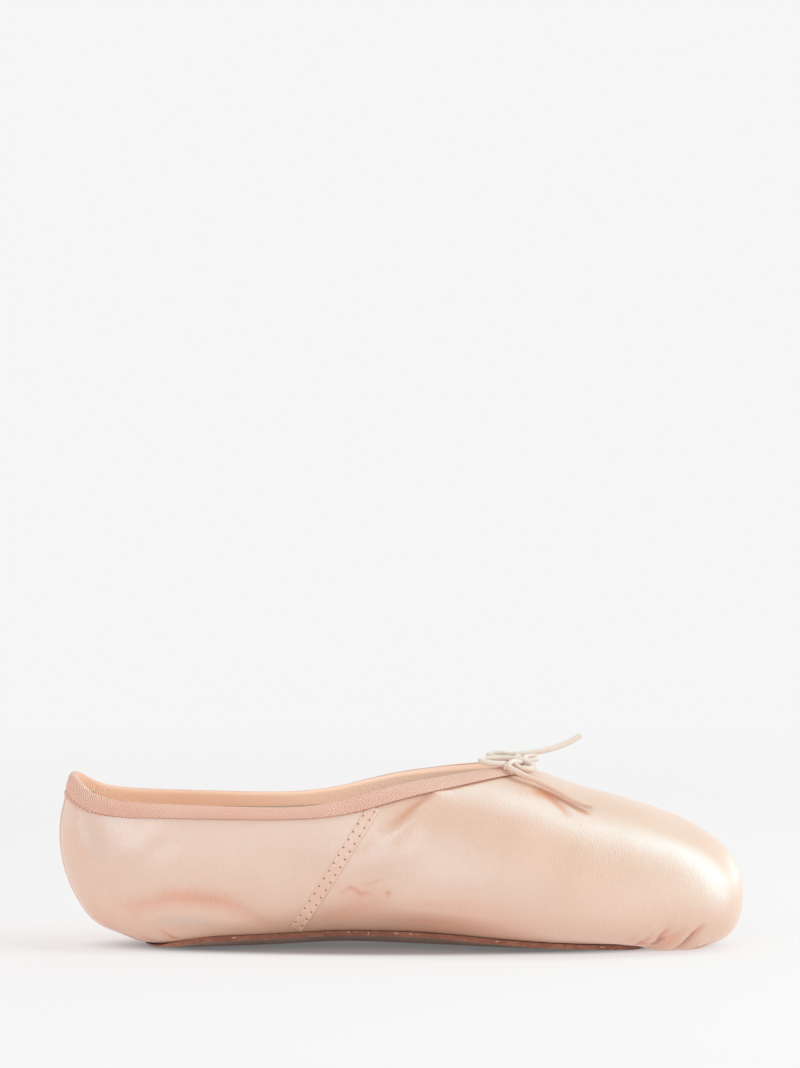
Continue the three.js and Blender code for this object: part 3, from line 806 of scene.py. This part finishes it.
# %% Pleats round the ends of the sole, as along and across in millimetres
TOE_PLEATS = [
    [(197, 23.8), (200.2, 28.2), (202.4, 31.6)],
    [(200.4, 21.8), (204.2, 26.5), (206.6, 29.3), (208.6, 30.4)],
    [(201.6, 19.8), (205.9, 24.4), (210.8, 27.2), (214.4, 28)],
    [(202.8, 16.6), (207.6, 20.2), (212.6, 23.6), (217.6, 25.6), (220.4, 26)],
    [(203.6, 12.6), (209.6, 15), (216.7, 18), (222.3, 19.6)],
    [(204.2, 8.2), (211.4, 9.8), (218.6, 11.6), (224, 12.2)],
    [(204.6, 3.2), (212, 4.2), (219.4, 4.4), (225, 5)],
]
HEEL_PLEATS = [
    [(40, 17.5), (35, 21.5)],
    [(33, 14.2), (27.5, 17.6)],
    [(29.4, 10), (23.6, 12.6)],
    [(28, 5.8), (21, 7.2)],
    [(27.6, 1.8), (20, 2.2)],
]
PLEAT_WIDTH = 0.0010
PLEAT_DEPTH = 0.0009
# How strongly the pleats are painted with shade.
PLEAT_SHADE_TINT = 0.9
PLEAT_SETS = ((TOE_PLEATS, PLEAT_DEPTH), (HEEL_PLEATS, 0.6 * PLEAT_DEPTH))
FAR_SHARE = 0.7  # the far side's folds are this much as deep

# %% Satin that sags over both ends of the sole
SAG = 0.0013
FLOOR_GAP = 0.00012


def eased(value):
    value = np.clip(value, 0, 1)
    return value * value * (3 - 2 * value)


def sole_end(along):
    return eased((along - 0.018) / 0.011) * eased((0.056 - along) / 0.022)


def toe_end(along):
    return eased((along - 0.197) / 0.009) * eased((0.228 - along) / 0.010)


def sagged(points):
    along = points[:, 0] - HEEL_BACK
    low = eased((0.0095 - points[:, 2]) / 0.0055)
    off_middle = eased((np.abs(points[:, 1]) - 0.006) / 0.010)
    return SAG * low * (sole_end(along) + toe_end(along) * off_middle)


# %% Push the skin in and out
points = points_of(upper)
normals = normals_of(upper)
outward = np.where(np.einsum("ij,ij->i", normals, away_from_middle(points)) > 0, 1.0, -1.0)
push = np.zeros(len(points))
# Each fold adds its painted shade to this, for the satin's colour.
painted_shade = np.zeros(len(points))
laid = 0
for side, share in ((-1, 1.0), (1, FAR_SHARE)):
    for _, width, depth, shade_tint, places in SIDE_FOLDS:  # the name is for the reader
        line = line_through(on_side(along, up, side) for along, up in smooth_line(places))
        value = share * bell(points, line, width / 1000, False)
        push += depth / 1000 * value
        painted_shade += shade_tint * value
        laid += 1
    for pleats, depth in PLEAT_SETS:
        for count, places in enumerate(pleats):
            sway = 0.2 if side < 0 else 0.08 * count - 0.28
            line = line_through(
                on_underside(along, side * across + sway)
                for along, across in smooth_line(places)
            )
            value = bell(points, line, PLEAT_WIDTH * (1 + 0.15 * (count % 3)), True)
            push -= depth * (1 - 0.18 * (count % 2)) * value
            painted_shade += PLEAT_SHADE_TINT * value
            laid += 1
points += normals * (outward * push)[:, None]
points[:, 2] -= sagged(points) * (normals[:, 2] * outward < 0)
points[:, 2] = np.maximum(points[:, 2], FLOOR_GAP)
set_points(upper, points)
# The painted shade is kept on the points, where the satin's colour reads it.
mask = upper.data.attributes.new("painted_shade", "FLOAT", "POINT")
mask.data.foreach_set("value", np.clip(painted_shade, -1, 2).astype(np.float32))
upper.data.shade_smooth()
print(laid, "folds, from", round(1000 * push.min(), 2), "to", round(1000 * push.max(), 2), "mm")
upper_skin = skin_of(upper)

# %% [markdown]
# ## The folded tape
# A herringbone tape is folded in half over the collar edge and stitched through, and it
# is the tunnel that the drawstring runs in. Its weave turns over the edge with it. So
# the tape gets its own map: how far round the collar, and how far across from the fold,
# out being positive. The ribs are then drawn in those two lengths.

# %% Herringbone tape material
STITCH_DROP = 0.0061
STITCH_PITCH = 0.0015
tape, tree, shader, coordinate = new_material("herringbone tape")
surface_map = add_node(tree, "ShaderNodeUVMap", uv_map="tape map").outputs["UV"]
along, across = split(surface_map)[:2]
twill = use_group(
    herringbone,
    Along=along,
    Across=across,
    Rib_pitch=0.00104,
    Band=0.0047,
    Band_start=0.0019,
    Slant=-1.1,
)
fuzz = use_group(fibres, Place=coordinate, Fineness=2600.0)
# The inside of the tape is painted with bounced light: a slightly warmer colour and a glow,
# though it is no lamp.
inside = ramp(across, 0.0004, -0.0012)
tone, colour = patchy(coordinate, 60.0, (254, 203, 181), (255, 211, 190))
colour = tinted(colour, inside, (252, 208, 180))
colour = tinted(colour, twill["Groove"], (216, 146, 116), 0.8)
off_row = math_node("SUBTRACT", across, STITCH_DROP)
off_row = math_node("ABSOLUTE", off_row)
beat = math_node("MULTIPLY", along, 2 * math.pi / STITCH_PITCH)
beat = ramp(math_node("SINE", beat), -0.4, 0.3)
stitches = math_node("MULTIPLY", ramp(off_row, 0.0005, 0.0002), beat)
# The painted glow inside is redder and dimmer towards the heel.
forward = ramp(split(coordinate)["X"], -0.08, 0.0)
painted_bounce = mix_colours(forward, srgb(205, 142, 110), srgb(255, 228, 208))
surface = bump(twill["Height"], 0.0003)
set_inputs(
    shader,
    Base_Color=tinted(colour, stitches, (203, 128, 104), 0.6),
    Emission_Color=mix_colours(inside, (0, 0, 0, 1), painted_bounce),
    Emission_Strength=0.33,
    Roughness=0.7,
    Specular_IOR_Level=0.35,
    Sheen_Weight=0.25,
    Sheen_Roughness=0.5,
    Normal=bump(fuzz["Height"], 0.00006, under=surface),
)
print("tape has", len(tree.nodes), "nodes")

# %% Tape map
binding = new_piece("collar_tape", copy_of("binding"), levels=3)
set_points(binding, settled(points_of(binding)))
dress(binding, tape)
points = points_of(binding)
normals = normals_of(binding)
MOUTH_MIDDLE = HEEL_BACK + 0.082
MOUTH_STRETCH = 2.6  # the mouth is this much longer than it is wide
FOLD_STEPS = 240
FOLD_BAND = 0.00012  # points this near the top of the tape are on its fold
SMOOTHING = 7
LEG_SPLIT = -0.6  # the inner leg of the fold hangs more steeply from it than this
turn = np.arctan2(points[:, 1] * MOUTH_STRETCH, points[:, 0] - MOUTH_MIDDLE)
slot_of = ((turn + np.pi) / (2 * np.pi) * FOLD_STEPS).astype(int) % FOLD_STEPS
fold_line = np.zeros((FOLD_STEPS, 3))
for index in range(FOLD_STEPS):
    here = points[slot_of == index]
    fold_line[index] = here[here[:, 2] > here[:, 2].max() - FOLD_BAND].mean(axis=0)
wrapped = np.vstack([fold_line[-3:], fold_line, fold_line[:3]])
shifts = [wrapped[shift : shift + FOLD_STEPS] for shift in range(SMOOTHING)]
fold_line = sum(shifts) / SMOOTHING
ahead = np.roll(fold_line, -1, axis=0) - fold_line
steps = np.linalg.norm(ahead, axis=1)
collar_length = steps.sum()
reached = np.concatenate([[0], np.cumsum(steps)])
FINE = 16
parts = np.arange(FINE) / FINE
fine_fold = fold_line[:, None, :] + ahead[:, None, :] * parts[None, :, None]
fine_fold = fine_fold.reshape(-1, 3)
fine_reached = (reached[:-1, None] + steps[:, None] * parts[None, :]).ravel()
finder = KDTree(len(fine_fold))
for index, spot in enumerate(fine_fold):
    finder.insert(spot, index)
finder.balance()
found = np.array([finder.find(spot)[1] for spot in points])
round_collar = fine_reached[found]
offset = points - fine_fold[found]
straight = np.linalg.norm(offset, axis=1)
away = away_from_middle(points)
leaning = np.einsum("ij,ij->i", offset, away) / (np.linalg.norm(away, axis=1) * straight + 1e-9)
inner_leg = leaning < LEG_SPLIT
folded_over = 0.6 * np.linalg.norm(offset[:, :2], axis=1) + np.abs(offset[:, 2])
drop = np.where(inner_leg, -folded_over, straight)
near_side = points[:, 1] < 0
hang = round(1000 * drop.max(), 1)
print("the tape is", round(1000 * collar_length), "mm long, and hangs", hang, "mm outside")

# %% Herringbone map, stitch line and border
# Ribs point to the toe on both sides, so the distance is counted from the heel each way
from_heel = np.where(near_side, round_collar, collar_length - round_collar)
tape_map = binding.data.uv_layers.new(name="tape map")
corner_points = np.empty(len(binding.data.loops), dtype=int)
binding.data.loops.foreach_get("vertex_index", corner_points)
places = np.column_stack([from_heel, drop])[corner_points]
tape_map.data.foreach_set("uv", places.astype(np.float32).ravel())
TAPE_HANG = 0.0072


def rib_at(away, width, height):
    return height * np.exp(-(((drop - away) / width) ** 2))


border = rib_at(TAPE_HANG, 0.00045, 0.00018)
stitch_line = rib_at(TAPE_HANG - 0.0011, 0.0004, -0.00028)
fullness = rib_at(0.0030, 0.0020, 0.00015)
points += normals * (border + stitch_line + fullness)[:, None]
set_points(binding, points)
binding.data.shade_smooth()

# %% [markdown]
# ## Side seams and back seam
# The front and back of the upper are joined by a seam up each side, pressed flat and sewn
# down with two rows of stitches, with its folded edge towards the toe. A short seam runs
# up the back of the heel. Each is a fine grid laid on the skin like a sticker: its
# long way follows the seam, and its thickness follows a drawn profile, with a small
# dimple at every needle hole.

# %% Seam strips laid on the skin
SIDE_SEAM_WIDTH = 0.0044
BACK_SEAM_WIDTH = 0.0028
HOLE_PITCH = 0.0034
HOLE_ROWS = (-0.0016, 0.0010)
HOLE_SIZE = 0.00038
HOLE_DEPTH = 0.00030
STRIP_EDGE, STRIP_LIFT = 0.00008, 0.00022
FOLD_LIFT, FOLD_IN, FOLD_WIDTH = 0.00032, 0.0007, 0.0006
GRID_PITCH = 0.00022
STRIP_THICK = 0.0006
SEAM_TOP = (0.1083, 0.0504)
SEAM_FOOT = (0.0817, 0.0079)
SEAM_RUN = 0.0552
LEAN_ALONG, LEAN_DOWN = 0.85, 0.53


def seam_spot(share, across, side):
    along = SEAM_TOP[0] + (SEAM_FOOT[0] - SEAM_TOP[0]) * share + LEAN_ALONG * across
    up = SEAM_TOP[1] + (SEAM_FOOT[1] - SEAM_TOP[1]) * share - LEAN_DOWN * across
    return upper_skin.ray_cast(place(along, side * REACH, up), Vector((0, -side, 0)))


BACK_TOP, BACK_FOOT = 0.56, -0.86
BACK_RUN = 0.062


def back_spot(share, across, side):
    angle = BACK_TOP + (BACK_FOOT - BACK_TOP) * share
    middle = place(SPINE_END, across, SPINE_UP)
    out = Vector((-math.cos(angle), 0, math.sin(angle)))
    return upper_skin.ray_cast(middle + out * REACH, -out)


def strip_height(across, width):
    edge = max(1 - (abs(across) / (width / 2)) ** 6, 0) ** 0.5
    fold = math.exp(-(((across - width / 2 + FOLD_IN) / FOLD_WIDTH) ** 2))
    return STRIP_EDGE + STRIP_LIFT * edge + FOLD_LIFT * fold * edge


UNPIERCED = 0.02  # a map shifted this far sideways meets no hole


def seam_strip(name, spot, run, width, side, rows):
    bm = bmesh.new()
    bmesh.ops.create_grid(bm, x_segments=28, y_segments=int(run / GRID_PITCH), size=0.5)
    drawn = bm.loops.layers.uv.new("seam map")
    where = {}
    for vert in bm.verts:
        across, share = vert.co.x * width, 0.5 - vert.co.y
        where[vert.index] = (across if rows else across + UNPIERCED, share * run)
        found, normal, _, _ = spot(share, across, side)
        lift = strip_height(across, width)
        for row in rows:
            station = (share * run / HOLE_PITCH) % 1 - 0.5
            away = math.hypot(station * HOLE_PITCH, across - row)
            lift -= HOLE_DEPTH * math.exp(-((away / HOLE_SIZE) ** 2))
        vert.co = found + normal * lift
    for face in bm.faces:
        for corner in face.loops:
            corner[drawn].uv = where[corner.vert.index]
    bmesh.ops.recalc_face_normals(bm, faces=bm.faces)
    piece = new_piece(name, bm)
    middle = piece.data.polygons[len(piece.data.polygons) // 2]
    if not faces_outward(middle.center, middle.normal):
        piece.data.flip_normals()
    body = piece.modifiers.new("cloth thickness", "SOLIDIFY")
    body.thickness = STRIP_THICK
    body.offset = -1
    print(name, "has", len(piece.data.polygons), "faces")
    return piece


seam_near = seam_strip("side_seam_near", seam_spot, SEAM_RUN, SIDE_SEAM_WIDTH, -1, HOLE_ROWS)
seam_far = seam_strip("side_seam_far", seam_spot, SEAM_RUN, SIDE_SEAM_WIDTH, 1, HOLE_ROWS)
seam_back = seam_strip("heel_seam", back_spot, BACK_RUN, BACK_SEAM_WIDTH, 1, ())

# %% Seam material
seam_cloth, tree, shader, coordinate = new_material("seam satin")
surface_map = add_node(tree, "ShaderNodeUVMap", uv_map="seam map").outputs["UV"]
across, along = split(surface_map)[:2]
thread = use_group(threads, Place=coordinate, Threads_per_metre=2700.0)
station = math_node("FRACT", math_node("DIVIDE", along, HOLE_PITCH))
station = math_node("SUBTRACT", station, 0.5)
off_station = math_node("MULTIPLY", station, HOLE_PITCH)
off_station = math_node("MULTIPLY", off_station, off_station)
holes = []
for row in HOLE_ROWS:
    off_row = math_node("SUBTRACT", across, row)
    squares = math_node("MULTIPLY_ADD", off_row, off_row, off_station)
    away = math_node("SQRT", squares)
    holes.append(ramp(away, HOLE_SIZE, HOLE_SIZE * 0.6))
# Painted shade: the seam darkens and warms towards the floor, as the satin does.
painted_low_shade = ramp(split(coordinate)["Z"], 0.026, 0.004)
tone, colour = patchy(coordinate, 90.0, (236, 184, 154), (241, 193, 167))
colour = tinted(colour, painted_low_shade, (233, 167, 129), 0.5)
colour = tinted(colour, thread["Height"], THREAD_TINT, 0.1)
set_inputs(
    shader,
    Base_Color=tinted(colour, math_node("MAXIMUM", *holes), (120, 72, 58)),
    Roughness=ramp(thread["Height"], 0, 1, 0.52, 0.42),
    IOR=1.65,
    Specular_Tint=COOL_GLOSS,
    Specular_IOR_Level=0.9,
    Coat_Weight=0.5,
    Coat_Roughness=0.38,
    Sheen_Weight=0.2,
    Normal=bump(thread["Height"], 0.00006),
)
for strip in (seam_near, seam_far, seam_back):
    dress(strip, seam_cloth)
print("seam material has", len(tree.nodes), "nodes")

# %% [markdown]
# ## Sole and sock
# The outsole is one piece of suede, pressed into the pleats, with its cut edge showing
# all round. Its solid already has the arch and the two flats that it stands on, so the
# copy only gets its edges eased before it is rounded. The sock inside is a thin cloth
# covered board. Suede is drawn with short fibres, and its cut edge is redder and rougher
# than its face.

# %% Sole pieces
SHARP = math.radians(50)


def eased_copy(node_name, width):
    bm = copy_of(node_name)
    rims = [edge for edge in bm.edges if edge.is_manifold and edge.calc_face_angle() > SHARP]
    how = {"offset_type": "OFFSET", "affect": "EDGES", "segments": 2, "profile": 0.5}
    bmesh.ops.bevel(bm, geom=rims, offset=width, material=-1, clamp_overlap=True, **how)
    print(node_name, "has", len(rims), "eased edges")
    return bm


outsole = new_piece("suede_outsole", eased_copy("outsole", 0.00025), levels=2)
sock = new_piece("sock_lining", eased_copy("insole", 0.0002), levels=2)

# %% Thinner where the satin sags over the heel end
THINNED = 0.72
ARCH = ([0.029, 0.032, 0.036, 0.040, 0.044], [0.0009, 0.0007, 0.0004, 0.0002, 0.0])
points = points_of(outsole)
along = points[:, 0] - HEEL_BACK
above = points[:, 2] - np.interp(along, *ARCH)
thinned = THINNED * (1 - eased((along - 0.0295) / 0.022))
points[:, 2] -= np.clip(above, 0, 0.003) * thinned
set_points(outsole, points)
print("the sole is", round(100 * (1 - thinned.max())), "% as thick at its heel end")

# %% Suede materials
def suede_material(name, fineness, patches, colours, fleck, speckle, sheen, depth):
    material, tree, shader, coordinate = new_material(name)
    nap = use_group(fibres, Place=coordinate, Fineness=fineness)
    tone, colour = patchy(coordinate, patches, *colours)
    colour = tinted(colour, nap["Fleck"], *fleck)
    if speckle:
        colour = tinted(colour, tone["Speckle"], *speckle)
    set_inputs(
        shader,
        Base_Color=colour,
        Roughness=0.95,
        Sheen_Weight=sheen,
        Sheen_Roughness=0.6,
        Specular_IOR_Level=0.2,
        Normal=bump(nap["Height"], depth),
    )
    return material, shader


FACE_COLOURS = ((128, 101, 92), (150, 120, 108))
EDGE_COLOURS = ((150, 92, 72), (176, 116, 90))
suede, shader = suede_material(
    "suede face", 2200.0, 55.0, FACE_COLOURS, ((176, 146, 132), 0.5), None, 0.5, 0.0003
)
set_inputs(shader, Sheen_Tint=srgb(214, 190, 176))
speckle = ((112, 64, 50), 0.5)
cut_edge, _ = suede_material(
    "suede cut edge", 3400.0, 150.0, EDGE_COLOURS, ((206, 158, 128), 0.7), speckle, 0.3, 0.0004
)
dress(outsole, suede, cut_edge)
dress(sock, lining)
edge_faces = 0
for face in outsole.data.polygons:
    face.material_index = 1 if abs(face.normal.z) < 0.6 or face.normal.z > 0 else 0
    edge_faces += face.material_index
print(edge_faces, "faces of the sole are cut edge")

# %% [markdown]
# ## Knot
# The knot is four more turns of the same cord, pulled tight and so a little thinner. They
# wrap round the three lengths that meet in it, and one stands up behind them. Each turn
# is a curve like the cords, made into a mesh and joined, because a knot is a fixed thing
# and no free cord.

# %% Knot turns
PULLED_TIGHT = 0.8
KNOT_TURNS = [
    [(152.8, -12.6, 61.9), (153.4, -13.3, 63.0), (154.6, -12.9, 64.1), (156.0, -11.4, 64.5),
        (157.4, -9.6, 64.2), (158.6, -7.6, 63.8)],
    [(155.4, -10.4, 64.1), (156.4, -11.6, 63.5), (158.4, -12.4, 62.2), (160.8, -12.2, 61.6),
        (162.6, -11.0, 61.7), (163.4, -9.2, 62.6)],
    [(157.4, -5.6, 63.5), (157.0, -4.4, 65.1), (157.7, -2.6, 65.5), (158.5, -1.9, 64.2),
        (159.2, -3.4, 63.0), (159.7, -5.2, 63.7), (160.0, -4.4, 65.2), (160.6, -2.8, 65.1)],
    [(158.0, -4.4, 64.3), (160.8, -3.0, 65.3), (163.2, -2.8, 65.5), (164.3, -3.4, 64.8),
        (162.8, -4.4, 64.3), (160.2, -4.9, 63.9)],
]
bm = bmesh.new()
for count, route in enumerate(KNOT_TURNS):
    part, _ = cord_curve(f"knot_turn_{count}", route, PULLED_TIGHT * CORD)
    graph = bpy.context.evaluated_depsgraph_get()
    mesh = bpy.data.meshes.new_from_object(part.evaluated_get(graph))
    bm.from_mesh(mesh)
    bpy.data.meshes.remove(mesh)
    bpy.data.objects.remove(part)
bmesh.ops.remove_doubles(bm, verts=bm.verts, dist=1e-6)
knot = new_piece("drawstring_knot_turns", bm)
print("knot has", len(knot.data.polygons), "faces")

# %% [markdown]
# ## Frayed tip
# The near end has come undone. Fourteen thin strands, each a thin tapering cone bent a
# little its own way, stand out of it. Their directions come from a fixed seed, so that
# each run frays the same.

# %% Strands
def add_cone(bm, foot, heading, length, thick, thin):
    made = bmesh.ops.create_cone(
        bm, cap_ends=True, segments=6, radius1=thick, radius2=thin, depth=length
    )
    turned = heading.to_track_quat("Z", "Y").to_matrix()
    for vert in made["verts"]:
        vert.co.z += length / 2
        vert.co = foot + turned @ vert.co


STRANDS = 14
SUNK = 0.0007  # how deep the strands start inside the cord
rng = np.random.default_rng(7)
end = place_mm(*NEAR_END[-1])
end_direction = (end - place_mm(*NEAR_END[-2])).normalized()
bm = bmesh.new()
for _ in range(STRANDS):
    length = 0.0014 + 0.0012 * rng.random()
    heading = (end_direction + 0.3 * Vector(rng.normal(size=3))).normalized()
    offset = Vector(rng.normal(size=3)) * 0.00035
    foot = end - end_direction * SUNK + offset
    add_cone(bm, foot, heading, length, 0.00022, 0.00006)
frayed = new_piece("frayed_tip", bm)
print("frayed tip has", len(frayed.data.polygons), "faces")

# %% [markdown]
# ## Loose threads at the sole
# Where the sole is stitched on, short ends of pale thread stand out of its cut edge. They
# are cones like the strands, all joined in one mesh. They stand in threes at the rim of
# the sole, found by looking for its outermost point there.

# %% Thread ends along the near edge of the sole
THREAD_PLACES = (60.5, 98.8, 107.0, 114.6, 121.4, 150.2, 186.0)
THREADS_EACH = 3
LOOK = 0.0012
sole_points = points_of(outsole)
bm = bmesh.new()
for along in THREAD_PLACES:
    here = sole_points[np.abs(sole_points[:, 0] - HEEL_BACK - along / 1000) < LOOK]
    rim = Vector(here[here[:, 1].argmin()]) + Vector((0, 0, 0.0003))
    for _ in range(THREADS_EACH):
        heading = Vector((rng.normal(), -0.7, 0.5 * rng.normal())).normalized()
        length = 0.0009 + 0.0008 * rng.random()
        add_cone(bm, rim - heading * 0.0003, heading, length, 0.00016, 0.00007)
sole_threads = new_piece("sole_thread_ends", bm)
print("thread ends have", len(sole_threads.data.polygons), "faces")

# %% Cord material
cord_cloth, tree, shader, coordinate = new_material("cotton cord")
nap = use_group(fibres, Place=coordinate, Fineness=1900.0)
weave = use_group(plain_weave, Place=coordinate, Threads_per_metre=2200.0)
# Painted shade: the cord is painted warmer and darker where it lies low on the satin.
painted_low_shade = ramp(split(coordinate)["Z"], 0.0635, 0.0585)
tone, colour = patchy(coordinate, 130.0, (229, 207, 191), (237, 219, 206))
colour = tinted(colour, painted_low_shade, (232, 194, 172))
surface = bump(weave["Height"], 0.00008)
set_inputs(
    shader,
    Base_Color=tinted(colour, weave["Gap"], (222, 178, 150), 0.18),
    Roughness=0.8,
    Sheen_Weight=0.3,
    Normal=bump(nap["Height"], 0.00006, under=surface),
)
for piece in (far_cord, near_loop, near_end, knot, frayed, sole_threads):
    dress(piece, cord_cloth)
print("cord material has", len(tree.nodes), "nodes")

# %% [markdown]
# ## What rides, what stands for what
# Nothing on the shoe moves by itself, so every piece rides on the one body. Each soft
# piece stands for the solid that it was made from, and that solid is hidden.

# %% Ride and replace
for piece, slot, stands_for in (
    (upper, "satin", "upper"),
    (binding, "tape", "binding"),
    (seam_near, "satin", "side_seam_right"),
    (seam_far, "satin", "side_seam_left"),
    (seam_back, "satin", "back_seam"),
    (outsole, "suede", "outsole"),
    (sock, "lining", "insole"),
    (knot, "cord", "drawstring_knot"),
    (frayed, "cord", None),
    (sole_threads, "cord", None),
    (far_cord, "cord", "drawstring_far"),
    (near_loop, "cord", "drawstring_loop"),
    (near_end, "cord", "drawstring_end"),
):
    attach(piece, "root")
    if stands_for:
        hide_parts(stands_for)
